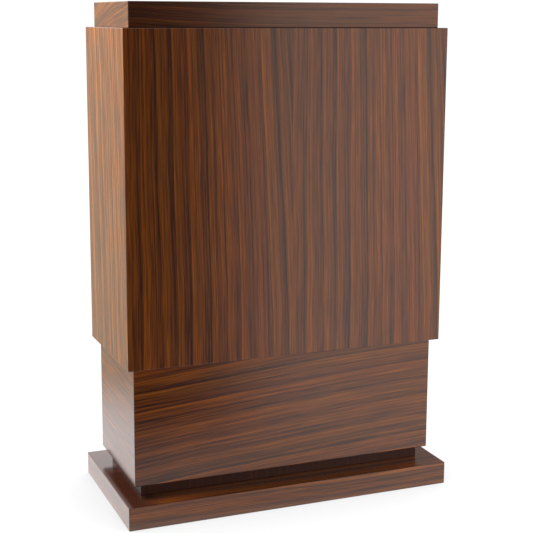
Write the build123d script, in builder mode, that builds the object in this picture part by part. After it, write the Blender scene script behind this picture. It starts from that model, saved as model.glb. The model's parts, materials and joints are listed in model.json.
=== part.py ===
# Free-standing pulpit of veneered boards: a base slab, a recessed plinth, a pedestal box,
# a larger body box and a low cap that holds a sloped reading board.
#
# Millimetres. The origin is the middle of the footprint, on the floor. +Z is up. The front
# (towards the congregation) faces -Y, and the speaker stands on the +Y side. Left (-X) and
# right (+X) are as seen from the front.
from build123d import *

import os
from math import cos, radians, tan

os.makedirs("parts", exist_ok=True)

# ---------------------------------------------------------------- driving dimensions
total_height = 1100
body_width = 738
body_depth = 310
base_height = 51
plinth_height = 28
pedestal_height = 261
cap_height = 53
step_in = 16                  # the pedestal and the cap stand in from the body
plinth_step_in = 18           # the plinth stands in from the pedestal
base_overhang_side = 10
base_overhang_front = 27
board = 18                    # thickness of the veneered boards
edge_ease = 1.5               # rounding of the outer edges
niche_height = 240
reading_tilt = 9              # degrees, falling towards the speaker
reading_board_thickness = 12
reading_set_down = 2          # reading board's upper edge below the cap's top
page_stop_height = 27
door_gap = 2
slip = 0.05                   # radial clearance of pins and screws in their holes
small_ease = 1                # rounding of loose boards, doors and small hardware
bore_end_room = 1             # how far a screw's hole runs on past its tip

# ---------------------------------------------------------------- worked-out places
base_width = body_width + 2 * base_overhang_side
base_depth = body_depth + 2 * base_overhang_front
core_width = body_width - 2 * step_in
core_depth = body_depth - 2 * step_in
plinth_width = core_width - 2 * plinth_step_in
plinth_depth = core_depth - 2 * plinth_step_in
inner_width = body_width - 2 * board
inner_front = board - body_depth / 2
body_back = body_depth / 2

pedestal_bottom = base_height + plinth_height
body_bottom = pedestal_bottom + pedestal_height
body_top_height = total_height - cap_height
cupboard_bottom = body_bottom + board
niche_top = body_top_height - board
niche_bottom = niche_top - niche_height
cupboard_top = niche_bottom - board

SIDES = {"left": -1, "right": 1}
OUTWARD = {"front": (0, -1), "back": (0, 1), "left": (-1, 0), "right": (1, 0)}


# ---------------------------------------------------------------- shared steps
def save(piece, name):
    """Label a finished piece and write it to its own file."""
    piece.part.label = name
    export_step(piece.part, f"parts/{name}.step")


def board_ring(width, depth, bottom, top, open_back=False):
    """Four boards round a box, still in one piece, with eased outer edges."""
    inside_depth = depth - board if open_back else depth - 2 * board
    inside_centre = (0, board / 2) if open_back else (0, 0)
    with BuildPart() as ring:
        with BuildSketch(Plane.XY.offset(bottom)):
            Rectangle(width, depth)
        extrude(amount=top - bottom)
        fillet(ring.edges(), radius=edge_ease)
        with BuildSketch(Plane.XY.offset(bottom)):
            with Locations(inside_centre):
                Rectangle(width - 2 * board, inside_depth)
        extrude(amount=top - bottom, mode=Mode.SUBTRACT)
    return ring


def cut_mitres(width, depth, side):
    """Inside a part: keep one side of a ring, between the 45 degree mitres at its corners."""
    out_x, out_y = OUTWARD[side]
    along_x, along_y = abs(out_y), abs(out_x)
    split(bisect_by=Plane(origin=(0, 0, 0), z_dir=(out_x, out_y, 0)), keep=Keep.TOP)
    for end in (-1, 1):
        corner = ((out_x + end * along_x) * width / 2, (out_y + end * along_y) * depth / 2, 0)
        towards_board = (out_x - end * along_x, out_y - end * along_y, 0)
        split(bisect_by=Plane(origin=corner, z_dir=towards_board), keep=Keep.TOP)


def flat_board(width, depth, bottom, top, centre=(0, 0)):
    """Inside a part: a plain horizontal board."""
    with BuildSketch(Plane.XY.offset(bottom)) as outline:
        with Locations(centre):
            Rectangle(width, depth)
    extrude(outline.sketch, amount=top - bottom)


def at_corners(x, y):
    """The four places that mirror (x, y) across both middles of the pulpit."""
    return [(side_x * x, side_y * y) for side_x in (-1, 1) for side_y in (-1, 1)]


def round_holes(places, radius, bottom, top):
    """Inside a part: upright holes from one height to another."""
    with BuildSketch(Plane.XY.offset(bottom)) as circles:
        with Locations(*places):
            Circle(radius)
    extrude(circles.sketch, amount=top - bottom, mode=Mode.SUBTRACT)


def countersunk_screws(seats, radius, length):
    """Wood screws whose flat heads lie in the seats. Each seat's normal points out of its head."""
    head_radius = 2 * radius
    recess_length = 1.3 * head_radius
    recess_width = 0.35 * radius
    recess_depth = 0.8 * radius
    with BuildPart() as screws:
        with Locations(*seats):
            Cylinder(radius, length, align=(Align.CENTER, Align.CENTER, Align.MAX))
            Cone(radius, head_radius, radius, align=(Align.CENTER, Align.CENTER, Align.MAX))
            Box(recess_length, recess_width, 2 * recess_depth, mode=Mode.SUBTRACT)
            Box(recess_width, recess_length, 2 * recess_depth, mode=Mode.SUBTRACT)
    return screws


def screw_seats(seats, radius, length):
    """Inside a part: countersunk holes for those screws."""
    with Locations(*seats):
        CounterSinkHole(radius + slip, 2 * radius + slip, depth=length + bore_end_room,
                        counter_sink_angle=90)


def pilot_holes(seats, radius, length):
    """Inside a part: the plain holes that those screws end in."""
    with Locations(*seats):
        Hole(radius + slip, depth=length + bore_end_room)


# ================================================================ base slab
bottom_board_thickness = 9
bearer_depth = 104
bearer_y = base_depth / 2 - board - bearer_depth / 2
deck_bottom = base_height - board
glide_x = 330
glide_y = 135
glide_places = at_corners(glide_x, glide_y)
glide_foot_radius = 14
glide_recess_radius = 16
glide_stem_radius = 4
insert_radius = 6
insert_flange_radius = 9
insert_flange = 1.5
insert_top = 25
coach_screw_x = 275
coach_screw_y = 83
coach_screw_places = at_corners(coach_screw_x, coach_screw_y)
coach_screw_radius = 4
coach_screw_clearance = 4.5
coach_screw_tip = 14


def fold_plane(side):
    """The 45 degree plane along one top edge of the base, where deck and edge board meet."""
    out_x, out_y = OUTWARD[side]
    edge = (out_x * base_width / 2, out_y * base_depth / 2, base_height)
    return Plane(origin=edge, z_dir=(out_x, out_y, -1))


for side in OUTWARD:
    with BuildPart() as base_edge:
        add(board_ring(base_width, base_depth, 0, base_height).part)
        cut_mitres(base_width, base_depth, side)
        split(bisect_by=fold_plane(side), keep=Keep.TOP)
    save(base_edge, f"base_{side}")

with BuildPart() as base_deck:
    flat_board(base_width, base_depth, 0, base_height)
    fillet(base_deck.edges(), radius=edge_ease)
    split(bisect_by=Plane.XY.offset(deck_bottom), keep=Keep.TOP)
    for side in OUTWARD:
        split(bisect_by=fold_plane(side), keep=Keep.BOTTOM)
    round_holes(coach_screw_places, coach_screw_clearance, deck_bottom, base_height)
save(base_deck, "base_deck")

with BuildPart() as base_bottom:
    flat_board(base_width - 2 * board, base_depth - 2 * board, 0, bottom_board_thickness)
    round_holes(glide_places, glide_recess_radius, 0, bottom_board_thickness)
save(base_bottom, "base_bottom")

with BuildPart() as base_bearers:
    for bearer_side in (-1, 1):
        flat_board(base_width - 2 * board, bearer_depth, bottom_board_thickness, deck_bottom,
                   centre=(0, bearer_side * bearer_y))
    round_holes(glide_places, insert_radius + slip, bottom_board_thickness, deck_bottom)
    round_holes(glide_places, insert_flange_radius + slip, bottom_board_thickness,
                bottom_board_thickness + insert_flange + slip)
    round_holes(coach_screw_places, coach_screw_radius + slip, coach_screw_tip - bore_end_room, deck_bottom)
save(base_bearers, "base_bearers")

# Threaded inserts, pressed into the bearers from below.
with BuildPart() as glide_inserts:
    with BuildSketch(Plane.XY.offset(bottom_board_thickness)):
        with Locations(*glide_places):
            Circle(insert_flange_radius)
    extrude(amount=insert_flange)
    with BuildSketch(Plane.XY.offset(bottom_board_thickness)):
        with Locations(*glide_places):
            Circle(insert_radius)
    extrude(amount=insert_top - bottom_board_thickness)
    round_holes(glide_places, glide_stem_radius + slip, bottom_board_thickness, insert_top)
save(glide_inserts, "glide_inserts")


def glide(place):
    """A levelling foot: round sole, hexagon for a spanner and threaded stem, wound right in."""
    sole_height = 5
    hexagon_height = 3
    hexagon_radius = 7
    stem_top = 31
    stem_tip_chamfer = 0.8
    with BuildPart() as foot:
        with BuildSketch():
            with Locations(place):
                Circle(glide_foot_radius)
        extrude(amount=sole_height)
        fillet(foot.edges(), radius=small_ease)
        with BuildSketch(Plane.XY.offset(sole_height)):
            with Locations(place):
                RegularPolygon(hexagon_radius, 6)
        extrude(amount=hexagon_height)
        with BuildSketch(Plane.XY.offset(sole_height)):
            with Locations(place):
                Circle(glide_stem_radius)
        extrude(amount=stem_top - sole_height)
        chamfer(foot.edges().sort_by(Axis.Z)[-1], length=stem_tip_chamfer)
    return foot


for place in glide_places:
    depth_word = "front" if place[1] < 0 else "back"
    width_word = "left" if place[0] < 0 else "right"
    save(glide(place), f"glide_{depth_word}_{width_word}")


# ================================================================ plinth
plinth_ring = board_ring(plinth_width, plinth_depth, base_height, pedestal_bottom)
for side in OUTWARD:
    with BuildPart() as plinth_rail:
        add(plinth_ring.part)
        cut_mitres(plinth_width, plinth_depth, side)
    save(plinth_rail, f"plinth_{side}")

block_width = 60
block_depth = 40
block_places = at_corners(plinth_width / 2 - board - block_width / 2,
                          plinth_depth / 2 - board - block_depth / 2)
with BuildPart() as plinth_blocks:
    with BuildSketch(Plane.XY.offset(base_height)):
        with Locations(*block_places):
            Rectangle(block_width, block_depth)
    extrude(amount=plinth_height)
    round_holes(coach_screw_places, coach_screw_clearance, base_height, pedestal_bottom)
save(plinth_blocks, "plinth_blocks")


# ================================================================ pedestal
pedestal_floor_top = pedestal_bottom + board
post_size = 30
post_places = at_corners(core_width / 2 - board - post_size / 2,
                         core_depth / 2 - board - post_size / 2)
washer_radius = 12
washer_thickness = 1.6
coach_head_radius = 7.5
coach_head_height = 5.5
body_screw_radius = 2.5
body_screw_length = 50
body_screw_seats = [Plane(origin=(x, y, cupboard_bottom)) for x, y in post_places]

pedestal_ring = board_ring(core_width, core_depth, pedestal_bottom, body_bottom)
for side in OUTWARD:
    with BuildPart() as pedestal_board:
        add(pedestal_ring.part)
        cut_mitres(core_width, core_depth, side)
    save(pedestal_board, f"pedestal_{side}")

with BuildPart() as pedestal_floor:
    flat_board(core_width - 2 * board, core_depth - 2 * board, pedestal_bottom, pedestal_floor_top)
    round_holes(coach_screw_places, coach_screw_clearance, pedestal_bottom, pedestal_floor_top)
save(pedestal_floor, "pedestal_floor")

with BuildPart() as pedestal_posts:
    with BuildSketch(Plane.XY.offset(pedestal_floor_top)):
        with Locations(*post_places):
            Rectangle(post_size, post_size)
    extrude(amount=body_bottom - pedestal_floor_top)
    pilot_holes(body_screw_seats, body_screw_radius, body_screw_length)
save(pedestal_posts, "pedestal_posts")

with BuildPart() as coach_washers:
    with BuildSketch(Plane.XY.offset(pedestal_floor_top)):
        with Locations(*coach_screw_places):
            Circle(washer_radius)
            Circle(coach_screw_clearance, mode=Mode.SUBTRACT)
    extrude(amount=washer_thickness)
save(coach_washers, "coach_washers")

with BuildPart() as coach_screws:
    with BuildSketch(Plane.XY.offset(pedestal_floor_top + washer_thickness)):
        with Locations(*coach_screw_places):
            RegularPolygon(coach_head_radius, 6)
    extrude(amount=coach_head_height)
    with BuildSketch(Plane.XY.offset(coach_screw_tip)):
        with Locations(*coach_screw_places):
            Circle(coach_screw_radius)
    extrude(amount=pedestal_floor_top + washer_thickness - coach_screw_tip)
save(coach_screws, "coach_screws")


# ================================================================ doors' sizes and hardware places
door_width = (inner_width - 3 * door_gap) / 2
door_bottom = cupboard_bottom + door_gap
door_top = cupboard_top - door_gap
door_inner_face = body_back - board

hinge_height = 64
hinge_end_distance = 62
hinge_heights = (door_bottom + hinge_end_distance, door_top - hinge_end_distance)
leaf_thickness = 1.6
leaf_depth = 14               # how far a leaf reaches in from the doors' outer face
knuckle_radius = 3.5
knuckle_gap = 0.3
pin_radius = 1.8
pin_head_radius = 2.8
pin_head_height = 2
axis_x = inner_width / 2 - door_gap / 2
axis_y = body_back + knuckle_radius
hinge_screw_radius = 1.25
hinge_screw_length = 13
hinge_screw_spread = 21
hinge_screw_y = body_back - leaf_depth / 2

knob_x = 34
knob_above_middle = 70
knob_height = (door_bottom + door_top) / 2 + knob_above_middle
knob_length = 24
knob_radius = 13.5
knob_rim_height = 17.5
knob_rim_top = 20
knob_rim_ease = 0.8
knob_neck_radius = 5.5
knob_neck_height = 9
knob_foot_radius = 9
knob_foot_height = 2.5
knob_screw_radius = 2
knob_bore_depth = 12
knob_screw_reach = 11
knob_screw_play = 0.25
knob_screw_head_radius = 4.2
knob_screw_head_height = 2.4

catch_x = 62
catch_width = 44
catch_depth = 16
catch_drop = 14
strike_thickness = 1.2
strike_width = 34
strike_height = 11
strike_from_door_top = 1
catch_gap = 0.2
catch_face = door_inner_face - strike_thickness - catch_gap
hardware_corner = 2
magnet_width = 30
magnet_height = 7
magnet_depth = 12


def hinge_seats(side, on_door):
    """Where the hinge screws' heads lie, on the frame leaves or on the door leaves."""
    inward = -SIDES[side]
    face_x = axis_x - door_gap / 2 if on_door else axis_x + door_gap / 2
    out_of_head = (-inward if on_door else inward, 0, 0)
    return [Plane(origin=(-inward * face_x, hinge_screw_y, height + spread), z_dir=out_of_head)
            for height in hinge_heights
            for spread in (-hinge_screw_spread, 0, hinge_screw_spread)]


def leaf_mortises(side, on_door):
    """Inside a part: shallow seats for the two hinge leaves, open to the speaker's side."""
    seat_depth = leaf_thickness + slip
    face_x = axis_x - door_gap / 2 if on_door else axis_x + door_gap / 2
    into_wood = -SIDES[side] * seat_depth if on_door else SIDES[side] * seat_depth
    with BuildSketch(Plane.YZ.offset(SIDES[side] * face_x)) as seats:
        for height in hinge_heights:
            with Locations((body_back - leaf_depth / 2, height)):
                Rectangle(leaf_depth + 2 * slip, hinge_height + 2 * slip)
    extrude(seats.sketch, amount=into_wood, mode=Mode.SUBTRACT)


# ================================================================ body
pin_hole_radius = 2.5
pin_hole_depth = 10
pin_hole_pitch = 32
pin_hole_count = 5
pin_row_start = cupboard_bottom + 4 * pin_hole_pitch
shelf_front_gap = 2
shelf_front = inner_front + shelf_front_gap
shelf_back = 112
pin_set_back = 37
pin_rows = (shelf_front + pin_set_back, shelf_back - pin_set_back)
shelf_pin_height = pin_row_start + 2 * pin_hole_pitch

biscuit_length = 47
biscuit_width = 15
biscuit_thickness = 4
biscuit_from_inner_corner = 4
biscuit_count = 5
biscuit_pitch = (body_top_height - body_bottom) / biscuit_count


def biscuits(side, play, mode):
    """Inside a part: the lens-shaped biscuits of one front mitre, or with some play, their slots."""
    corner_x = SIDES[side] * (inner_width / 2 + biscuit_from_inner_corner)
    corner_y = inner_front - biscuit_from_inner_corner
    half_length = biscuit_length / 2 + play
    half_width = biscuit_width / 2 + play
    for number in range(biscuit_count):
        height = body_bottom + (number + 0.5) * biscuit_pitch
        lens_plane = Plane(origin=(corner_x, corner_y, height), x_dir=(SIDES[side], 1, 0),
                           z_dir=(1, -SIDES[side], 0))
        with BuildSketch(lens_plane) as lens:
            with BuildLine():
                ThreePointArc((0, -half_length), (half_width, 0), (0, half_length))
                ThreePointArc((0, half_length), (-half_width, 0), (0, -half_length))
            make_face()
        extrude(lens.sketch, amount=biscuit_thickness / 2 + play, both=True, mode=mode)


body_ring = board_ring(body_width, body_depth, body_bottom, body_top_height, open_back=True)

with BuildPart() as body_front:
    add(body_ring.part)
    cut_mitres(body_width, body_depth, "front")
    for side in SIDES:
        biscuits(side, 2 * slip, Mode.SUBTRACT)
save(body_front, "body_front")

for side, sign in SIDES.items():
    with BuildPart() as body_side:
        add(body_ring.part)
        front_corner = (sign * body_width / 2, -body_depth / 2, 0)
        split(bisect_by=Plane(origin=front_corner, z_dir=(sign, 1, 0)), keep=Keep.TOP)
        biscuits(side, 2 * slip, Mode.SUBTRACT)
        leaf_mortises(side, on_door=False)
        pilot_holes(hinge_seats(side, on_door=False), hinge_screw_radius, hinge_screw_length)
        with BuildSketch(Plane.YZ.offset(sign * inner_width / 2)):
            for row in pin_rows:
                for number in range(pin_hole_count):
                    with Locations((row, pin_row_start + number * pin_hole_pitch)):
                        Circle(pin_hole_radius)
        extrude(amount=sign * pin_hole_depth, mode=Mode.SUBTRACT)
    save(body_side, f"body_{side}")

with BuildPart() as mitre_biscuits:
    for side in SIDES:
        biscuits(side, 0, Mode.ADD)
save(mitre_biscuits, "mitre_biscuits")

between_boards_depth = body_back - inner_front
between_boards_centre = (0, (body_back + inner_front) / 2)

with BuildPart() as body_floor:
    flat_board(inner_width, between_boards_depth, body_bottom, cupboard_bottom, between_boards_centre)
    screw_seats(body_screw_seats, body_screw_radius, body_screw_length)
save(body_floor, "body_floor")

save(countersunk_screws(body_screw_seats, body_screw_radius, body_screw_length), "body_screws")

cap_screw_radius = 2
cap_screw_length = 36
cap_rail_x = (core_width - board) / 2
cap_rail_y = (core_depth - board) / 2
cap_side_screw_y = 90
cap_rail_screw_x = 250
cap_screw_places = at_corners(cap_rail_x, cap_side_screw_y) + at_corners(cap_rail_screw_x, cap_rail_y)
cap_screw_places += [(0, cap_rail_y), (0, -cap_rail_y)]
cap_screw_seats = [Plane(origin=(x, y, niche_top), z_dir=(0, 0, -1)) for x, y in cap_screw_places]

with BuildPart() as body_top:
    flat_board(inner_width, between_boards_depth, niche_top, body_top_height, between_boards_centre)
    screw_seats(cap_screw_seats, cap_screw_radius, cap_screw_length)
save(body_top, "body_top")

save(countersunk_screws(cap_screw_seats, cap_screw_radius, cap_screw_length), "cap_screws")

with BuildPart() as niche_shelf:
    flat_board(inner_width, between_boards_depth, cupboard_top, niche_bottom, between_boards_centre)
save(niche_shelf, "niche_shelf")

shelf_bottom = shelf_pin_height + pin_hole_radius
shelf_end_play = 2
with BuildPart() as cupboard_shelf:
    flat_board(inner_width - 2 * shelf_end_play, shelf_back - shelf_front, shelf_bottom,
               shelf_bottom + board, (0, (shelf_back + shelf_front) / 2))
    fillet(cupboard_shelf.edges().filter_by(Axis.X), radius=small_ease)
save(cupboard_shelf, "cupboard_shelf")

# The shelf pins: a round peg in the board, a thin collar against it, and a peg under the shelf.
peg_in_hole = 8
peg_under_shelf = 9
collar_radius = 4
collar_thickness = 1
with BuildPart() as shelf_pins:
    for sign in SIDES.values():
        pin_places = [(row, shelf_pin_height) for row in pin_rows]
        with BuildSketch(Plane.YZ.offset(sign * (inner_width / 2 + peg_in_hole))):
            with Locations(*pin_places):
                Circle(pin_hole_radius - slip)
        extrude(amount=-sign * (peg_in_hole + peg_under_shelf))
        with BuildSketch(Plane.YZ.offset(sign * inner_width / 2)):
            with Locations(*pin_places):
                Circle(collar_radius)
        extrude(amount=-sign * collar_thickness)
save(shelf_pins, "shelf_pins")


# ================================================================ cap and reading board
cap_ring = board_ring(core_width, core_depth, body_top_height, total_height, open_back=True)

with BuildPart() as cap_front:
    add(cap_ring.part)
    cut_mitres(core_width, core_depth, "front")
    pilot_holes(cap_screw_seats, cap_screw_radius, cap_screw_length)
save(cap_front, "cap_front")

for side, sign in SIDES.items():
    with BuildPart() as cap_side:
        add(cap_ring.part)
        front_corner = (sign * core_width / 2, -core_depth / 2, 0)
        split(bisect_by=Plane(origin=front_corner, z_dir=(sign, 1, 0)), keep=Keep.TOP)
        pilot_holes(cap_screw_seats, cap_screw_radius, cap_screw_length)
    save(cap_side, f"cap_{side}")

cap_inner_width = core_width - 2 * board
cap_inner_half_depth = core_depth / 2 - board
page_stop_ease = 3
with BuildPart() as cap_back:
    flat_board(cap_inner_width, board, body_top_height, body_top_height + page_stop_height,
               (0, cap_rail_y))
    fillet(cap_back.edges().filter_by(Axis.X).group_by(Axis.Z)[-1], radius=page_stop_ease)
    pilot_holes(cap_screw_seats, cap_screw_radius, cap_screw_length)
save(cap_back, "cap_back")

reading_play = 0.5
reading_half_depth = cap_inner_half_depth - reading_play
reading_thickness_upright = reading_board_thickness / cos(radians(reading_tilt))


def reading_surface(y):
    """Height of the reading surface at a distance from the pulpit's middle."""
    return total_height - reading_set_down - (y + reading_half_depth) * tan(radians(reading_tilt))


def reading_underside(y):
    """Height of the reading board's underside at the same place."""
    return reading_surface(y) - reading_thickness_upright


with BuildPart() as reading_board:
    with BuildSketch(Plane.YZ):
        with BuildLine():
            Polyline((-reading_half_depth, reading_surface(-reading_half_depth)),
                     (reading_half_depth, reading_surface(reading_half_depth)),
                     (reading_half_depth, reading_underside(reading_half_depth)),
                     (-reading_half_depth, reading_underside(-reading_half_depth)),
                     close=True)
        make_face()
    extrude(amount=cap_inner_width / 2 - reading_play, both=True)
    fillet(reading_board.edges().filter_by(Axis.X).group_by(Axis.Z)[-1], radius=small_ease)
save(reading_board, "reading_board")

cleat_width = 18
cleat_thin_end = 4
cleat_back = reading_half_depth
while reading_underside(cleat_back) - body_top_height < cleat_thin_end:
    cleat_back -= 1
with BuildPart() as board_cleats:
    for sign in SIDES.values():
        with BuildSketch(Plane.YZ.offset(sign * (cap_inner_width / 2 - reading_play))):
            with BuildLine():
                Polyline((-reading_half_depth, body_top_height),
                         (-reading_half_depth, reading_underside(-reading_half_depth)),
                         (cleat_back, reading_underside(cleat_back)),
                         (cleat_back, body_top_height),
                         close=True)
            make_face()
        extrude(amount=-sign * cleat_width)
save(board_cleats, "board_cleats")


# ================================================================ doors
def knob_place(side):
    """The middle of a knob's base, on the door's outer face."""
    return (SIDES[side] * knob_x, body_back, knob_height)


def hinge_leaves(side, on_door):
    """Two butt hinge leaves with their knuckles: the frame's hold the end knuckles, the door's the middle."""
    inward = -SIDES[side]
    hinge_x = SIDES[side] * axis_x
    face_x = door_gap / 2 if on_door else -door_gap / 2
    plate_x = (inward * face_x, inward * (face_x + leaf_thickness * (1 if on_door else -1)))
    knuckle_height = hinge_height / 3
    with BuildPart() as leaves:
        for height in hinge_heights:
            levels = (-1, 0, 1)
            own_levels = [level for level in levels if (level == 0) == on_door]
            other_levels = [level for level in levels if level not in own_levels]
            with BuildSketch(Plane.XY.offset(height - hinge_height / 2)):
                with Locations((hinge_x + sum(plate_x) / 2, axis_y - (knuckle_radius + leaf_depth) / 2)):
                    Rectangle(leaf_thickness, knuckle_radius + leaf_depth)
            extrude(amount=hinge_height)
            for level in other_levels:
                clear_height = knuckle_height + 2 * knuckle_gap
                with BuildSketch(Plane.XY.offset(height + level * knuckle_height - clear_height / 2)):
                    with Locations((hinge_x, axis_y)):
                        Circle(knuckle_radius + knuckle_gap)
                extrude(amount=clear_height, mode=Mode.SUBTRACT)
            for level in own_levels:
                own_height = knuckle_height - (knuckle_gap if level == 0 else 0)
                with BuildSketch(Plane.XY.offset(height + level * knuckle_height - own_height / 2)):
                    with Locations((hinge_x, axis_y)):
                        Circle(knuckle_radius)
                extrude(amount=own_height)
            with BuildSketch(Plane.XY.offset(height - hinge_height / 2)):
                with Locations((hinge_x, axis_y)):
                    Circle(pin_radius + slip)
            extrude(amount=hinge_height, mode=Mode.SUBTRACT)
        screw_seats(hinge_seats(side, on_door), hinge_screw_radius, leaf_thickness)
    return leaves


with BuildPart() as hinge_frame_leaves:
    for side in SIDES:
        add(hinge_leaves(side, on_door=False).part)
save(hinge_frame_leaves, "hinge_frame_leaves")

with BuildPart() as hinge_pins:
    for sign in SIDES.values():
        for height in hinge_heights:
            with BuildSketch(Plane.XY.offset(height - hinge_height / 2 - pin_head_height)):
                with Locations((sign * axis_x, axis_y)):
                    Circle(pin_radius)
            extrude(amount=hinge_height + 2 * pin_head_height)
            for head_bottom in (height - hinge_height / 2 - pin_head_height - slip,
                                height + hinge_height / 2 + slip):
                with BuildSketch(Plane.XY.offset(head_bottom)):
                    with Locations((sign * axis_x, axis_y)):
                        Circle(pin_head_radius)
                extrude(amount=pin_head_height)
save(hinge_pins, "hinge_pins")

frame_seats = hinge_seats("left", on_door=False) + hinge_seats("right", on_door=False)
save(countersunk_screws(frame_seats, hinge_screw_radius, hinge_screw_length), "hinge_frame_screws")


def door_panel(side):
    """A door with its hinge seats, its screws' pilot holes and the hole for its knob's screw."""
    with BuildPart() as door:
        with BuildSketch(Plane.XY.offset(door_bottom)):
            with Locations((SIDES[side] * (door_gap + door_width) / 2, body_back - board / 2)):
                Rectangle(door_width, board)
        extrude(amount=door_top - door_bottom)
        fillet(door.edges(), radius=small_ease)
        leaf_mortises(side, on_door=True)
        pilot_holes(hinge_seats(side, on_door=True), hinge_screw_radius, hinge_screw_length)
        with Locations(Plane(origin=knob_place(side), z_dir=(0, 1, 0))):
            Hole(knob_screw_radius + knob_screw_play, depth=board)
    return door


def turned_knob(side):
    """A turned knob with a waisted neck, bored for its screw."""
    with BuildPart() as knob:
        with BuildSketch(Plane(origin=knob_place(side), x_dir=(1, 0, 0), z_dir=(0, 0, 1))):
            with BuildLine():
                Polyline((0, 0), (knob_foot_radius, 0), (knob_foot_radius, knob_foot_height))
                TangentArc((knob_foot_radius, knob_foot_height), (knob_neck_radius, knob_neck_height),
                           tangent=(-1, 0))
                TangentArc((knob_neck_radius, knob_neck_height), (knob_radius, knob_rim_height),
                           tangent=(0, 1))
                Line((knob_radius, knob_rim_height), (knob_radius, knob_rim_top))
                TangentArc((0, knob_length), (knob_radius, knob_rim_top), tangent=(1, 0))
                Line((0, knob_length), (0, 0))
            make_face()
            Rectangle(knob_screw_radius + slip, knob_bore_depth, align=(Align.MIN, Align.MIN),
                      mode=Mode.SUBTRACT)
        revolve(axis=Axis(knob_place(side), (0, 1, 0)))
        round_edges = knob.edges().filter_by(GeomType.CIRCLE)
        rims = round_edges.filter_by(lambda edge: edge.radius > knob_radius - slip)
        fillet(rims, radius=knob_rim_ease)
    return knob


def knob_screw(side):
    """The screw that runs from the door's inner face out into its knob."""
    with BuildPart() as screw:
        with BuildSketch(Plane.XZ.offset(-door_inner_face)):
            with Locations((SIDES[side] * knob_x, knob_height)):
                Circle(knob_screw_head_radius)
        extrude(amount=knob_screw_head_height)
        fillet(screw.edges().sort_by(Axis.Y)[0], radius=small_ease)
        with BuildSketch(Plane.XZ.offset(-door_inner_face)):
            with Locations((SIDES[side] * knob_x, knob_height)):
                Circle(knob_screw_radius)
        extrude(amount=-(board + knob_screw_reach))
    return screw


def strike_plate(side):
    """The steel plate on the door's inner face that the magnet holds."""
    strike_middle = door_top - strike_from_door_top - strike_height / 2
    with BuildPart() as strike:
        with BuildSketch(Plane.XZ.offset(-door_inner_face)):
            with Locations((SIDES[side] * catch_x, strike_middle)):
                RectangleRounded(strike_width, strike_height, hardware_corner)
        extrude(amount=strike_thickness)
    return strike


for side in SIDES:
    door_seats = hinge_seats(side, on_door=True)
    save(door_panel(side), f"door_{side}")
    save(hinge_leaves(side, on_door=True), f"hinge_leaves_{side}")
    save(countersunk_screws(door_seats, hinge_screw_radius, hinge_screw_length), f"hinge_screws_{side}")
    save(turned_knob(side), f"knob_{side}")
    save(knob_screw(side), f"knob_screw_{side}")
    save(strike_plate(side), f"strike_{side}")

# Magnetic catches under the niche shelf: a plastic housing round a magnet.
with BuildPart() as catch_housings:
    with BuildSketch(Plane.XZ.offset(-catch_face)):
        for sign in SIDES.values():
            with Locations((sign * catch_x, cupboard_top - catch_drop / 2)):
                RectangleRounded(catch_width, catch_drop, hardware_corner)
    extrude(amount=catch_depth)
    with BuildSketch(Plane.XZ.offset(-catch_face)):
        for sign in SIDES.values():
            with Locations((sign * catch_x, cupboard_top - catch_drop / 2)):
                Rectangle(magnet_width + 2 * slip, magnet_height + 2 * slip)
    extrude(amount=magnet_depth, mode=Mode.SUBTRACT)
save(catch_housings, "catch_housings")

with BuildPart() as catch_magnets:
    with BuildSketch(Plane.XZ.offset(-catch_face)):
        for sign in SIDES.values():
            with Locations((sign * catch_x, cupboard_top - catch_drop / 2)):
                Rectangle(magnet_width, magnet_height)
    extrude(amount=magnet_depth - slip)
save(catch_magnets, "catch_magnets")
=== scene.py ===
import json
import math

import bpy
from mathutils import Matrix, Vector


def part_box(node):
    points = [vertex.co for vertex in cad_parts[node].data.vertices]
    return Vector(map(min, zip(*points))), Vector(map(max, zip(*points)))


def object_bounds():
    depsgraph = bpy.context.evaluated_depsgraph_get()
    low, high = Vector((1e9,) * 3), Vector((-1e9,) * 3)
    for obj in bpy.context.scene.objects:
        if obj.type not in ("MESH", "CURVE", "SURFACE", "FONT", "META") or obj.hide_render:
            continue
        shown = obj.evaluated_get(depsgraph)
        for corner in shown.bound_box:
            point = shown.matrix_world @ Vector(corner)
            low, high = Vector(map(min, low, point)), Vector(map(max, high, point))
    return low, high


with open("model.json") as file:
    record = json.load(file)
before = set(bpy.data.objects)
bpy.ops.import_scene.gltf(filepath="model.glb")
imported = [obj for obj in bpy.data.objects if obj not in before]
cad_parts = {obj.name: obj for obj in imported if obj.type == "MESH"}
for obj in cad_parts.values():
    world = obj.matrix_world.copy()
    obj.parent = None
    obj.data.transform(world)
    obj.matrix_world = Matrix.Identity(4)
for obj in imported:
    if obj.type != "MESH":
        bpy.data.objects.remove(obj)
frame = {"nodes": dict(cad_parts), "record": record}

cad_low, cad_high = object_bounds()
nodes = frame["nodes"]
MM = 0.001
AXES = "XYZ"
WHITE = (1, 1, 1, 1)


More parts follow.
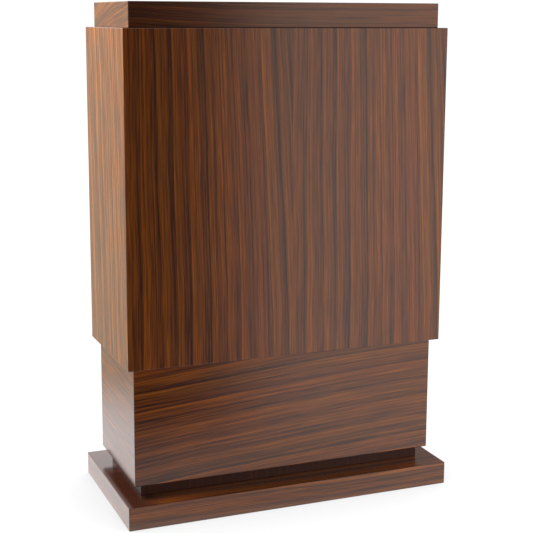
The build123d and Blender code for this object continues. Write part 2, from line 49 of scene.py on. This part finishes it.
# ---------------------------------------------------------------- a small hand for wiring nodes
class Wiring:
    """Adds nodes to one node tree. A value given to a node is a number, a colour or another node's output."""

    # A mix node's sockets for one kind of value: its first value, its second value and its result.
    MIX_SOCKETS = {"FLOAT": (2, 3, 0), "RGBA": (6, 7, 2)}

    def __init__(self, tree):
        self.tree = tree

    def put(self, socket, value):
        if isinstance(value, bpy.types.NodeSocket):
            self.tree.links.new(value, socket)
        else:
            socket.default_value = value

    def node(self, kind, settings=None, **inputs):
        made = self.tree.nodes.new(kind)
        for name, value in (settings or {}).items():
            setattr(made, name, value)
        for name, value in inputs.items():
            self.put(made.inputs[name.replace("_", " ")], value)
        return made

    def math(self, operation, *values, clamp=False):
        made = self.node("ShaderNodeMath", {"operation": operation, "use_clamp": clamp})
        for socket, value in zip(made.inputs, values):
            self.put(socket, value)
        return made.outputs[0]

    def add(self, a, b):
        return self.math("ADD", a, b)

    def minus(self, a, b):
        return self.math("SUBTRACT", a, b)

    def times(self, a, b):
        return self.math("MULTIPLY", a, b)

    def over(self, a, b):
        return self.math("DIVIDE", a, b)

    def mix(self, kind, factor, a, b):
        first, second, result = self.MIX_SOCKETS[kind]
        made = self.node("ShaderNodeMix", {"data_type": kind}, Factor=factor)
        self.put(made.inputs[first], a)
        self.put(made.inputs[second], b)
        return made, made.outputs[result]

    def choose(self, factor, a, b):
        """a where the factor is 0, b where it is 1, for numbers."""
        return self.mix("FLOAT", factor, a, b)[1]

    def blend(self, factor, a, b):
        """a where the factor is 0, b where it is 1, for colours."""
        return self.mix("RGBA", factor, a, b)[1]

    def tinted(self, a, b):
        """Colour a multiplied by colour b."""
        made, result = self.mix("RGBA", 1.0, a, b)
        made.blend_type = "MULTIPLY"
        return result

    def step(self, value, low, high):
        """0 below low, 1 above high, smooth between."""
        settings = {"interpolation_type": "SMOOTHSTEP"}
        return self.node("ShaderNodeMapRange", settings, Value=value, From_Min=low, From_Max=high).outputs[0]

    def fall(self, value, low, high):
        """1 below low, 0 above high, smooth between."""
        return self.minus(1.0, self.step(value, low, high))

    def point(self, x, y, z):
        return self.node("ShaderNodeCombineXYZ", X=x, Y=y, Z=z).outputs[0]

    def parts(self, vector):
        return self.node("ShaderNodeSeparateXYZ", Vector=vector).outputs

    # The value that Blender's noise lies around.
    NOISE_MIDDLE = 0.5

    def noise(self, x, y, z, detail, roughness=0.5):
        """Smooth noise, at a place given in noise cells."""
        place = self.point(x, y, z)
        made = self.node("ShaderNodeTexNoise", Vector=place, Scale=1.0, Detail=detail, Roughness=roughness)
        return made.outputs[0]

    def noise_around_zero(self, x, y, z, detail, roughness=0.5):
        return self.minus(self.noise(x, y, z, detail, roughness), self.NOISE_MIDDLE)

    def speckle(self, scale, detail):
        """Smooth noise in the object's own space, with this many cells to the metre."""
        place = self.node("ShaderNodeTexCoord").outputs["Object"]
        return self.node("ShaderNodeTexNoise", Vector=place, Scale=scale, Detail=detail).outputs[0]

    def bump(self, socket, height, strength, depth):
        """Bends the normal at this socket as if the surface had this relief."""
        made = self.node("ShaderNodeBump", Strength=strength, Distance=depth, Height=height)
        self.put(socket, made.outputs[0])

    def shader_mix(self, factor, a, b):
        """Shader a where the factor is 0, b where it is 1."""
        made = self.node("ShaderNodeMixShader")
        for socket, value in zip(made.inputs, (factor, a, b)):
            self.put(socket, value)
        return made.outputs[0]

    def ramp(self, value, stops):
        """A colour ramp through (place, colour) stops."""
        made = self.tree.nodes.new("ShaderNodeValToRGB")
        self.put(made.inputs[0], value)
        elements = made.color_ramp.elements
        last_place = stops[-1][0]
        while len(elements) < len(stops):
            elements.new(last_place)
        for element, (place, colour) in zip(elements, stops):
            element.position = place
            element.color = (*colour, 1.0)
        return made.outputs[0]


def new_material(name):
    """A material, its wiring and its principled shader."""
    made = bpy.data.materials.new(name)
    made.use_nodes = True
    wiring = Wiring(made.node_tree)
    shader = made.node_tree.nodes["Principled BSDF"]
    return made, wiring, shader


def object_place(w):
    """The place on the object, in metres, by axis."""
    return w.parts(w.node("ShaderNodeTexCoord").outputs["Object"])


# A face looks along an axis when its normal has more than this share along that axis.
FACING_SHARE = 0.7
# How flat the normal is where an eased edge ends and where it begins.
EASED_EDGE = (0.84, 0.98)


def face_axes(w, grain, edge_axis):
    """Where a point lies across and along the veneer, whichever way its face looks, and how far it is
    round an eased edge.

    On a board's ends, where the grain axis meets the face, the edge banding runs along edge_axis.
    """
    coordinates = w.node("ShaderNodeTexCoord")
    place = w.parts(coordinates.outputs["Object"])
    facing = [w.math("ABSOLUTE", part) for part in w.parts(coordinates.outputs["Normal"])]
    along_axis = AXES.index(grain)
    first, second = [axis for axis in range(len(AXES)) if axis != along_axis]
    faces_first = w.math("GREATER_THAN", facing[first], FACING_SHARE)
    across = w.choose(faces_first, place[first], place[second])
    is_end = w.math("GREATER_THAN", facing[along_axis], FACING_SHARE)
    edge = AXES.index(edge_axis)
    edge_across = first if edge == second else second
    across = w.choose(is_end, across, place[edge_across])
    along = w.choose(is_end, place[along_axis], place[edge])
    flattest = w.math("MAXIMUM", w.math("MAXIMUM", facing[0], facing[1]), facing[2])
    return across, along, w.fall(flattest, *EASED_EDGE)


# ---------------------------------------------------------------- rosewood veneer
body_front_low, body_front_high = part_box("body_front")
HALF_FRONT = (body_front_high.x - body_front_low.x) / 2
# A leaf wider than any board. Leaves are laid both ways from the object's origin, so a board that
# crosses the middle still has a joint there.
WIDE_LEAF = 1.4
# How far from a joint its dark line is full, and where it has gone.
JOINT_LINE = (0.3 * MM, 1.2 * MM)

# Rosewood from its darkest line to its brightest streak.
WOOD_STOPS = [(0.00, (0.046, 0.0156, 0.0085)),
              (0.20, (0.091, 0.0278, 0.0090)),
              (0.45, (0.158, 0.0468, 0.0087)),
              (0.62, (0.210, 0.0606, 0.0085)),
              (0.82, (0.290, 0.0815, 0.0088)),
              (1.00, (0.385, 0.1105, 0.0098))]
# Where plain wood lies among those stops.
MIDDLE_TONE = 0.47
# Broad areas are tinted one way or the other, and change between these values of the noise.
PURPLE_BROWN = (1.05, 0.94, 1.0, 1)
YELLOW_BROWN = (0.98, 0.99, 1.0, 1)
HUE_EDGE = (-0.20, 0.20)

# How far apart in the noise the figures of two boards, and of two leaves of one board, are taken.
BOARD_STEP = 3.7
LEAF_STEP = 0.06

# How the figure wanders: noise cells to the metre across and along the grain, its depth in the noise,
# and how far it reaches, as a multiple of the veneer's wander.
DRIFT = {"across": 2.6, "along": 2.2, "depth": 0.0, "reach": 6.0}
RIPPLE = {"across": 16.0, "along": 8.0, "depth": 5.7, "reach": 0.8}

# Growth rings: how their spacing varies, and the bright streak and the dark line in each, as places
# within the ring. What a ring draws by chance runs from "least" over "spread".
SPACING = {"width": 3.1, "length": 3.0, "reach": 1.4}
STREAK = {"least": 0.35, "spread": 0.9}
LINE = {"least": -0.05, "spread": 0.5, "rise": (0.84, 0.97), "fall": (0.985, 1.0)}
# How much of a streak's mean its soft start leaves, and how many narrow rings fill a wide one.
SOFT_START_SHARE = 0.98
NARROW_RINGS = 4.6

# The values of the noise between which a pore opens.
PORE_EDGE = (0.10, 0.24)
# How strongly each layer of the figure lightens or darkens the wood.
WEIGHTS = {"wide": 0.52, "narrow": 0.28, "bands": 1.35, "fibres": 1.60, "pores": 0.07, "joint": 0.22,
           "eased": 0.35}
# The depth in the noise at which each layer is taken, so that no two are alike.
LANES = {"wide": 0.0, "narrow": 11.0, "broad": 23.0, "bands": 31.0, "fibres": 43.0, "pores": 53.0,
         "hue": 67.0}


def leaf_places(w, across, leaf):
    """Leaves laid side by side: which leaf a point is in, where in it, and how near it is to a joint."""
    place = w.over(across, leaf)
    number = w.math("FLOOR", place)
    in_leaf = w.times(w.math("FRACT", place), leaf)
    half_leaf = 0.5
    joint_distance = w.times(w.math("PINGPONG", place, half_leaf), leaf / half_leaf)
    return number, in_leaf, w.fall(joint_distance, *JOINT_LINE)


def wandering(w, in_leaf, along, depth, kind, wander):
    """How far the figure strays sideways, in metres."""
    stray = w.noise_around_zero(w.times(in_leaf, kind["across"]), w.times(along, kind["along"]),
                                w.add(depth, kind["depth"]), detail=1.0)
    return w.times(stray, kind["reach"] * wander)


class Figure:
    """The wood's figure: noise read at a place across and along the grain."""

    def __init__(self, w, place, along, depth, seed, fade_power):
        self.w = w
        self.place = place
        self.along = along
        self.depth = depth
        self.seed = seed
        self.fade_power = fade_power
        self.mean_glow = SOFT_START_SHARE * fade_power / (1 + fade_power)

    def streaks(self, width, length, lane, detail, roughness=0.5):
        """Noise around zero, drawn out along the grain, about this wide and this long."""
        w = self.w
        return w.noise_around_zero(w.over(self.place, width), w.over(self.along, length),
                                   w.add(self.depth, lane), detail, roughness)

    def rings(self, width, lane, sharp):
        """Growth rings: a bright streak that darkens slowly and ends in a thin dark line."""
        w = self.w
        spacing = self.streaks(SPACING["width"] * width, SPACING["length"], lane, detail=1.0)
        place = w.add(w.over(self.place, width), w.times(spacing, SPACING["reach"]))
        within = w.math("FRACT", place)
        draw = w.node("ShaderNodeTexWhiteNoise", {"noise_dimensions": "2D"},
                      Vector=w.point(w.math("FLOOR", place), self.seed + lane, 0.0))
        streak_chance, line_chance, _ = w.parts(draw.outputs["Color"])
        fading = w.minus(1.0, w.math("POWER", within, self.fade_power))
        streak = w.minus(w.times(w.step(within, 0.0, sharp), fading), self.mean_glow)
        streak = w.times(streak, w.add(w.times(streak_chance, STREAK["spread"]), STREAK["least"]))
        line = w.times(w.step(within, *LINE["rise"]), w.fall(within, *LINE["fall"]))
        line = w.times(line, w.add(w.times(line_chance, LINE["spread"]), LINE["least"]))
        return w.minus(streak, line)


def veneer(name, grain, edge_axis, seed, ring=37 * MM, leaf=WIDE_LEAF, lean=0.0, bend=0.0, fan=0.0,
           wander=2.4 * MM, tone=0.0, contrast=1.0, streaky=1.0, cloud=0.35, toward=1, fade_power=0.75,
           gold_and_painted_sheen=0.0, painted_shade_at_left=None):
    """Straight-grained rosewood under gloss lacquer.

    grain is the axis the grain runs along, and edge_axis the one it runs along on a board's ends. Each
    seed gives another figure.
    ring is the width of a growth ring as the veneer shows it. leaf is the width of a leaf of veneer.
    lean and bend slope and curve the figure along the grain, in metres across per metre and per square
    metre; fan makes that grow over the leaf's width. wander is how far the figure strays, in metres.
    tone lightens the wood. contrast is how strong the figure is, and streaky how much of it the streaks
    finer than a ring have; cloud is how much broad patches differ. toward is +1 or -1: the side of each
    ring that has its dark line. A small fade_power leaves each ring a thin bright streak.
    gold_and_painted_sheen turns the light wood from pink towards gold: partly the wood's own gold, partly a
    painted sheen of the lit left faces. painted_shade_at_left is painted shade, darkening the wood towards
    the left: where along x it is darkest, where that ends, and how much darker it is.
    """
    made, w, shader = new_material(name)
    across, along, eased = face_axes(w, grain, edge_axis)
    leaf_number, in_leaf, joint = leaf_places(w, across, leaf)
    depth = w.add(seed * BOARD_STEP, w.times(leaf_number, LEAF_STEP))

    slope = w.add(w.times(along, lean), w.times(w.times(along, along), bend))
    slope = w.times(slope, w.add(w.times(in_leaf, 2 * fan / leaf), 1.0 - fan))
    stray = w.add(wandering(w, in_leaf, along, depth, DRIFT, wander),
                  wandering(w, in_leaf, along, depth, RIPPLE, wander))
    place = w.times(w.add(w.minus(in_leaf, slope), stray), toward)
    figure = Figure(w, place, along, depth, seed, fade_power)

    wide = figure.rings(ring, LANES["wide"], sharp=0.10)
    narrow = figure.rings(ring / NARROW_RINGS, LANES["narrow"], sharp=0.16)
    broad = figure.streaks(width=2.4 * ring, length=1.1, lane=LANES["broad"], detail=2.0)
    bands = figure.streaks(width=6.5 * MM, length=0.9, lane=LANES["bands"], detail=4.0, roughness=0.65)
    fibres = figure.streaks(width=1.2 * MM, length=0.10, lane=LANES["fibres"], detail=2.0, roughness=0.6)
    pores = figure.streaks(width=0.45 * MM, length=9 * MM, lane=LANES["pores"], detail=1.0)
    pore_mask = w.step(pores, *PORE_EDGE)

    value = w.times(wide, WEIGHTS["wide"] * contrast)
    value = w.add(value, w.times(narrow, WEIGHTS["narrow"] * contrast * streaky))
    value = w.add(value, w.times(broad, cloud * contrast))
    value = w.add(value, w.times(bands, WEIGHTS["bands"] * contrast * streaky))
    value = w.add(value, w.times(fibres, WEIGHTS["fibres"] * contrast * streaky))
    value = w.minus(value, w.times(pore_mask, WEIGHTS["pores"]))
    value = w.minus(value, w.times(joint, WEIGHTS["joint"]))
    value = w.minus(value, w.times(eased, WEIGHTS["eased"]))
    # Painted shade: darkens the wood towards the left, where less light reaches it.
    if painted_shade_at_left:
        shade_full_until, shade_gone_from, darkening = painted_shade_at_left
        dark = w.fall(object_place(w)[0], shade_full_until, shade_gone_from)
        value = w.minus(value, w.times(dark, darkening))
    value = w.math("ADD", value, MIDDLE_TONE + tone, clamp=True)

    hue = figure.streaks(width=34 * MM, length=1.2, lane=LANES["hue"], detail=2.0)
    tint = w.blend(w.step(hue, *HUE_EDGE), PURPLE_BROWN, YELLOW_BROWN)
    colour = w.tinted(w.ramp(value, WOOD_STOPS), tint)
    # Gold on the light streaks: partly the wood's own colour, partly painted sheen of the lit left faces.
    if gold_and_painted_sheen:
        colour = w.tinted(colour, w.blend(value, WHITE, (1, 1 + gold_and_painted_sheen, 1 - gold_and_painted_sheen, 1)))
    w.put(shader.inputs["Base Color"], colour)
    lacquer(w, shader, pore_mask)
    return made


def lacquer(w, shader, pore_mask):
    """Sprayed and rubbed gloss lacquer over open-pored wood."""
    rubbing = w.speckle(scale=7.0, detail=3.0)
    orange_peel = w.speckle(scale=420.0, detail=1.0)
    peel_height = 0.25
    pore_height = -0.6
    smoothest = 0.10
    rubbed = 0.06
    height = w.add(w.times(orange_peel, peel_height), w.times(pore_mask, pore_height))
    w.bump(shader.inputs["Coat Normal"], height, strength=0.03, depth=0.4 * MM)
    w.put(shader.inputs["Coat Roughness"], w.add(w.times(rubbing, rubbed), smoothest))
    shader.inputs["Roughness"].default_value = 0.5
    shader.inputs["Specular IOR Level"].default_value = 0.0
    shader.inputs["Coat Weight"].default_value = 1.0
    shader.inputs["Coat IOR"].default_value = 1.5


# ---------------------------------------------------------------- other materials
def metal(name, colour, smoothest, scratch):
    """Plated or lacquered metal with fine handling marks."""
    made, w, shader = new_material(name)
    smudge = w.speckle(scale=160.0, detail=4.0)
    marks = w.speckle(scale=2200.0, detail=2.0)
    darkening = 0.62
    smudge_edge = (0.35, 0.68)
    smudge_roughness = 0.22
    darker = tuple(darkening * part for part in colour)
    tint = w.blend(w.step(smudge, *smudge_edge), (*darker, 1), (*colour, 1))
    w.put(shader.inputs["Base Color"], tint)
    shader.inputs["Metallic"].default_value = 1.0
    w.put(shader.inputs["Roughness"], w.add(w.times(smudge, smudge_roughness), smoothest))
    w.bump(shader.inputs["Normal"], marks, scratch, 0.05 * MM)
    return made


def plain_wood(name, light, dark, grain, roughness):
    """Planed, unfinished wood or sealed board, with its grain along one axis."""
    made, w, shader = new_material(name)
    across, along, eased = face_axes(w, grain, "X" if grain != "X" else "Y")
    ring_width, ring_length, ring_depth = 5 * MM, 0.35, 2.0
    fleck_width, fleck_length, fleck_depth = 0.7 * MM, 7 * MM, 5.0
    fleck_edge = (0.62, 0.7)
    fleck_darkening = 0.25
    eased_lightening = 0.1
    darkest_at, lightest_at = 0.25, 0.7
    rings = w.noise(w.over(across, ring_width), w.over(along, ring_length), ring_depth, detail=3.0,
                    roughness=0.6)
    flecks = w.noise(w.over(across, fleck_width), w.over(along, fleck_length), fleck_depth, detail=1.0)
    value = w.math("SUBTRACT", rings, w.times(w.step(flecks, *fleck_edge), fleck_darkening), clamp=True)
    value = w.add(value, w.times(eased, eased_lightening))
    w.put(shader.inputs["Base Color"], w.ramp(value, [(darkest_at, dark), (lightest_at, light)]))
    shader.inputs["Roughness"].default_value = roughness
    w.bump(shader.inputs["Normal"], rings, strength=0.15, depth=0.2 * MM)
    return made


def moulded(name, colour, smoothest, scale):
    """Moulded plastic or pressed ferrite with a fine speckle."""
    made, w, shader = new_material(name)
    speckle = w.speckle(scale, detail=2.0)
    lightening = 1.8
    speckle_roughness = 0.2
    lighter = tuple(lightening * part for part in colour)
    w.put(shader.inputs["Base Color"], w.blend(speckle, (*colour, 1), (*lighter, 1)))
    w.put(shader.inputs["Roughness"], w.add(w.times(speckle, speckle_roughness), smoothest))
    w.bump(shader.inputs["Normal"], speckle, strength=0.25, depth=0.05 * MM)
    return made


# ---------------------------------------------------------------- which piece gets which material
PANEL_RING = 38 * MM
CAP_RING = 30 * MM
EDGE_RING = 22 * MM
# Painted shade: the darkening towards the left on body_front, pedestal_front and base_deck stands for less
# light there; on cap_front it is partly darker wood, partly painted shade.
VENEERED = {
    "body_front": dict(grain="Z", edge_axis="X", seed=1, leaf=HALF_FRONT, bend=-0.022, fan=0.7, cloud=0.45,
                       painted_shade_at_left=(-0.42, -0.12, 0.06)),
    # On body_left and cap_left the gold of the light streaks is partly painted sheen of the lit left side.
    "body_left": dict(grain="Z", edge_axis="Y", seed=2, lean=0.06, wander=4 * MM, streaky=2.2, gold_and_painted_sheen=0.22),
    "body_right": dict(grain="Z", edge_axis="Y", seed=3, lean=-0.04, wander=6 * MM),
    "door_left": dict(grain="Z", edge_axis="X", seed=4, contrast=0.85),
    "door_right": dict(grain="Z", edge_axis="X", seed=5, contrast=0.85),
    "cap_front": dict(grain="X", edge_axis="Z", seed=6, ring=CAP_RING, lean=-0.02, bend=0.06, toward=-1,
                      contrast=0.5, streaky=1.4, painted_shade_at_left=(-0.42, 0.08, 0.38)),
    "cap_back": dict(grain="X", edge_axis="Z", seed=7, ring=CAP_RING, bend=0.05, toward=-1, contrast=0.7),
    "cap_left": dict(grain="Y", edge_axis="Z", seed=8, ring=EDGE_RING, lean=-0.25, bend=-0.3, wander=7 * MM,
                     contrast=0.5, streaky=3.2, tone=-0.12, gold_and_painted_sheen=0.22),
    "cap_right": dict(grain="Y", edge_axis="Z", seed=9, ring=EDGE_RING, lean=0.05, bend=0.7, wander=7 * MM,
                      contrast=0.7),
    "reading_board": dict(grain="X", edge_axis="Y", seed=10, bend=0.04),
    "pedestal_front": dict(grain="X", edge_axis="Z", seed=11, ring=PANEL_RING, lean=0.066, bend=-0.05,
                           wander=2 * MM, toward=-1, fade_power=0.35, contrast=1.15, streaky=0.95,
                           cloud=0.25, tone=-0.005, painted_shade_at_left=(-0.40, 0.00, 0.07)),
    "pedestal_back": dict(grain="X", edge_axis="Z", seed=12, ring=PANEL_RING, lean=-0.03, toward=-1),
    "pedestal_left": dict(grain="Y", edge_axis="Z", seed=13, ring=PANEL_RING, lean=0.03, toward=-1,
                          contrast=0.5, streaky=3.5, tone=-0.11),
    "pedestal_right": dict(grain="Y", edge_axis="Z", seed=14, ring=PANEL_RING, lean=0.02, toward=-1),
    "base_front": dict(grain="X", edge_axis="Z", seed=15, ring=EDGE_RING, bend=0.01, wander=2 * MM,
                       contrast=0.75, streaky=1.7, tone=0.06),
    "base_back": dict(grain="X", edge_axis="Z", seed=16, ring=EDGE_RING, bend=0.02, wander=2 * MM),
    "base_left": dict(grain="Y", edge_axis="Z", seed=17, ring=EDGE_RING, wander=2 * MM, contrast=1.3,
                      streaky=2.4, tone=-0.08),
    "base_right": dict(grain="Y", edge_axis="Z", seed=18, ring=EDGE_RING, wander=2 * MM),
    "base_deck": dict(grain="X", edge_axis="Y", seed=19, wander=2 * MM, contrast=0.7, tone=-0.09,
                      painted_shade_at_left=(-0.35, -0.28, 0.42)),
}
by_piece = {piece: veneer("veneer_" + piece, **look) for piece, look in VENEERED.items()}
by_slot = {
    "rosewood_veneer": veneer("veneer_boards", "X", "Y", seed=20),
    # Painted shade: the plinth is dark veneer, made darker still for the shade in its recess under the
    # pedestal.
    "plinth_veneer": veneer("veneer_plinth_painted_shade", "Z", "X", seed=21, ring=14 * MM, contrast=0.5, tone=-0.52),
    "beech": plain_wood("beech", light=(0.60, 0.40, 0.22), dark=(0.42, 0.25, 0.13), grain="Z", roughness=0.6),
    "fibreboard": plain_wood("sealed_board", light=(0.13, 0.085, 0.055), dark=(0.07, 0.045, 0.03), grain="X",
                             roughness=0.55),
    "zinc_steel": metal("zinc_plated_steel", (0.66, 0.66, 0.63), smoothest=0.24, scratch=0.1),
    "brass": metal("satin_brass", (0.78, 0.56, 0.25), smoothest=0.2, scratch=0.08),
    "black_plastic": moulded("black_plastic", (0.012, 0.012, 0.013), smoothest=0.42, scale=900.0),
    "ferrite": moulded("ferrite", (0.05, 0.05, 0.055), smoothest=0.5, scale=1500.0),
}
for entry in frame["record"]["subparts"]:
    piece = nodes[entry["node"]]
    chosen = by_piece.get(entry["node"], by_slot[entry["material_slot"]])
    piece.data.materials.clear()
    piece.data.materials.append(chosen)


# ---------------------------------------------------------------- studio
# The floor, in metres: a disc of rings with this many sides.
FLOOR_RINGS = (0.6, 1.2, 2.4, 4.8, 7.0)
FLOOR_SIDES = 96
# Painted reflection: the sheet that the lacquer reflects is the floor glowing for reflected rays only. Where
# it starts to fade and has gone, measured from a point behind the object's middle; its glow; and how much
# dimmer it is in front of the object at the left, a painted shade on that glow.
PAPER_EDGE = (0.48, 1.05)
PAPER_BACKSET = 0.15
PAPER_GLOW = 1.5
PAPER_SHADE = 0.50
SHADE_FRONT = (-0.24, -0.18)
SHADE_LEFT = (-0.2, 0.6)
# What the camera sees: the floor's brightness in the deepest corner, and how much open floor adds.
FLOOR_DARKEST = 0.62
FLOOR_OPENNESS = 0.50
SHADOW_REACH = 0.35


def disc_mesh(name, radii, sides):
    """A flat disc in rings, facing up."""
    vertices = [(0, 0, 0)]
    faces = []
    for ring, radius in enumerate(radii):
        for number in range(sides):
            turn = 2 * math.pi * number / sides
            vertices.append((radius * math.cos(turn), radius * math.sin(turn), 0))
        outer = 1 + ring * sides
        inner = outer - sides
        for number in range(sides):
            following = (number + 1) % sides
            if ring == 0:
                faces.append((0, outer + number, outer + following))
            else:
                faces.append((inner + number, outer + number, outer + following, inner + following))
    mesh = bpy.data.meshes.new(name)
    mesh.from_pydata(vertices, [], faces)
    return mesh


def paper_glow(w, x, y):
    """How brightly the lit sheet glows, and how far it has faded to nothing."""
    back = w.minus(y, PAPER_BACKSET)
    radius = w.math("SQRT", w.add(w.times(x, x), w.times(back, back)))
    shaded = w.times(w.fall(y, *SHADE_FRONT), w.fall(x, *SHADE_LEFT))
    return w.minus(PAPER_GLOW, w.times(shaded, PAPER_SHADE)), w.step(radius, *PAPER_EDGE)


def floor_material():
    """White with a soft contact shadow for the camera, a glowing sheet as painted reflection for the lacquer,
    matt for the rest.
    """
    made, w, shader = new_material("studio_floor")
    made.cycles.emission_sampling = "NONE"
    x, y, _ = object_place(w)
    glow, faded = paper_glow(w, x, y)
    openness = w.node("ShaderNodeAmbientOcclusion", {"samples": 6}, Distance=SHADOW_REACH).outputs["AO"]
    brightness = w.add(w.times(openness, FLOOR_OPENNESS), FLOOR_DARKEST)
    matt = w.node("ShaderNodeBsdfDiffuse", Color=(0.5, 0.5, 0.5, 1)).outputs[0]
    clear = w.node("ShaderNodeBsdfTransparent").outputs[0]
    white = w.node("ShaderNodeEmission", Color=WHITE, Strength=brightness).outputs[0]
    # Painted reflection: the floor glows for reflected rays, as a lit floor would look in the lacquer.
    painted_reflection = w.node("ShaderNodeEmission", Color=WHITE, Strength=glow).outputs[0]
    rays = w.node("ShaderNodeLightPath")
    seen = w.shader_mix(rays.outputs["Is Glossy Ray"], matt, w.shader_mix(faded, painted_reflection, clear))
    seen = w.shader_mix(rays.outputs["Is Camera Ray"], seen, white)
    w.put(made.node_tree.nodes["Material Output"].inputs["Surface"], seen)
    made.node_tree.nodes.remove(shader)
    return made


def make_floor():
    """A pale floor."""
    mesh = disc_mesh("studio_floor", FLOOR_RINGS, FLOOR_SIDES)
    mesh.materials.append(floor_material())
    floor = bpy.data.objects.new("studio_floor", mesh)
    bpy.context.scene.collection.objects.link(floor)


# What the lacquer reflects, by compass direction: (degrees, brightness, warmth). 0 is the front and 90
# the right side. HORIZON is at eye level, OVERHEAD above it.
HORIZON = [(-166, 0.51, 1), (-120, 0.52, 1), (-95, 0.9, 0), (-80, 3.2, 0), (-68, 3.2, 0), (-55, 0.6, 0),
           (-25, 0.03, 0), (18.8, 0.0, 0), (20.6, 0.34, 0), (21.6, 1.28, 0), (23.2, 1.5, 0), (28, 1.47, 0),
           (60, 1.45, 0), (80, 0.7, 0), (135, 0.44, 0)]
OVERHEAD = [(-150, 1.75, 0), (-100, 1.3, 0), (-60, 0.9, 0), (-20, 0.35, 0), (15, 0.35, 0), (25, 1.2, 0),
            (60, 1.2, 0), (90, 0.6, 0), (145, 0.3, 0), (154, 0.35, 0), (163, 1.75, 0)]
# Where the horizon ends and the overhead begins, by the upward part of the direction.
OVERHEAD_FROM = (0.05, 0.26)
# Full warmth adds this much red and green.
WARM_RED = 0.5
WARM_GREEN = 0.28
# Daylight's strength from below, how much more comes from above, and where that rises.
DAYLIGHT = 0.06
SKY_LIGHT = 0.06
SKY_FROM = (-0.2, 0.8)
BACKDROP = (1.05, 1.05, 1.05, 1)


def around(w, azimuth, stops):
    """Light by compass direction. The ramp starts and ends behind the object."""
    top = max(brightness for _, brightness, _ in stops)
    places = []
    for degrees, brightness, warmth in stops:
        share = brightness / top
        colour = (share * (1 + WARM_RED * warmth), share * (1 + WARM_GREEN * warmth), share)
        places.append((0.5 + degrees / 360, colour))
    turn = w.add(w.over(azimuth, 2 * math.pi), 0.5)
    return w.tinted(w.ramp(turn, places), (top, top, top, 1))


def make_world():
    """White for the camera; for reflections, the lamps and walls of a studio; for the rest, soft daylight."""
    world = bpy.data.worlds.new("studio")
    bpy.context.scene.world = world
    world.use_nodes = True
    world.cycles.sampling_method = "NONE"
    w = Wiring(world.node_tree)
    x, y, z = w.parts(w.node("ShaderNodeTexCoord").outputs["Generated"])
    azimuth = w.math("ARCTAN2", x, w.times(y, -1.0))
    horizon = around(w, azimuth, HORIZON)
    overhead = around(w, azimuth, OVERHEAD)
    reflected = w.blend(w.step(z, *OVERHEAD_FROM), horizon, overhead)
    daylight = w.add(w.times(w.step(z, *SKY_FROM), SKY_LIGHT), DAYLIGHT)
    rays = w.node("ShaderNodeLightPath")
    colour = w.blend(rays.outputs["Is Glossy Ray"], w.point(daylight, daylight, daylight), reflected)
    colour = w.blend(rays.outputs["Is Camera Ray"], colour, BACKDROP)
    backdrop = w.node("ShaderNodeBackground", Color=colour)
    w.put(world.node_tree.nodes["World Output"].inputs["Surface"], backdrop.outputs[0])


# Soft lights: where they are and what they face, in metres, their power in watts and their colour.
SOFT_BOXES = {
    "right_front_box": dict(place=(1.35, -1.45, 0.8), aim=(0.1, 0, 0.55), width=1.0, height=1.4, power=24),
    "left_box": dict(place=(-1.45, 0.2, 1.88), aim=(-0.37, 0, 0.95), width=0.8, height=0.8, power=62,
                     colour=(1, 0.90, 0.90)),
    "right_side_box": dict(place=(1.75, 0.5, 1.2), aim=(0.3, 0.1, 0.6), width=1.0, height=1.2, power=13),
    "back_box": dict(place=(0.1, 2.1, 1.5), aim=(0, 0.1, 0.6), width=1.4, height=1.2, power=15),
}


def soft_box(name, place, aim, width, height, power, colour=(1, 1, 1)):
    """A soft rectangular light, itself unseen: the world shows what the lacquer reflects."""
    data = bpy.data.lights.new(name, "AREA")
    data.shape = "RECTANGLE"
    data.size = width
    data.size_y = height
    data.energy = power
    data.color = colour
    light = bpy.data.objects.new(name, data)
    light.location = place
    light.rotation_euler = (Vector(aim) - Vector(place)).to_track_quat("-Z", "Y").to_euler()
    light.visible_camera = False
    light.visible_glossy = False
    bpy.context.scene.collection.objects.link(light)


# The camera's place, measured from the body's front in heights of the object, and its turn in radians.
CAMERA_LEFT = 0.91993
CAMERA_IN_FRONT = 2.14758
CAMERA_UP = 0.97101
CAMERA_YAW = 0.37862
CAMERA_PITCH = -0.17478
CAMERA_ROLL = -0.00346


def camera_turn():
    """The camera's rotation: turned right by the yaw, up by the pitch, then rolled."""
    yaw, pitch, roll = CAMERA_YAW, CAMERA_PITCH, CAMERA_ROLL
    ahead = Vector((math.sin(yaw) * math.cos(pitch), math.cos(yaw) * math.cos(pitch), math.sin(pitch)))
    right = Vector((math.cos(yaw), -math.sin(yaw), 0))
    down = ahead.cross(right)
    rolled_right = math.cos(roll) * right + math.sin(roll) * down
    rolled_down = math.cos(roll) * down - math.sin(roll) * right
    return Matrix((rolled_right, -rolled_down, -ahead)).transposed().to_4x4()


def make_camera():
    """The camera: a long lens to the left of the front, a little above the body's top."""
    total_height = cad_high.z
    front = body_front_low.y
    data = bpy.data.cameras.new("camera")
    data.sensor_width = 36.0
    data.lens = 81.86
    data.shift_x = 0.01015
    data.shift_y = -0.06557
    data.clip_start = 0.05
    data.clip_end = 60
    camera = bpy.data.objects.new("camera", data)
    from_front = total_height * Vector((-CAMERA_LEFT, -CAMERA_IN_FRONT, CAMERA_UP))
    place = Vector((0, front, 0)) + from_front
    camera.matrix_world = Matrix.Translation(place) @ camera_turn()
    bpy.context.scene.collection.objects.link(camera)
    bpy.context.scene.camera = camera


make_floor()
make_world()
for box_name, box in SOFT_BOXES.items():
    soft_box(box_name, **box)
make_camera()
bpy.context.scene.view_settings.view_transform = "Standard"
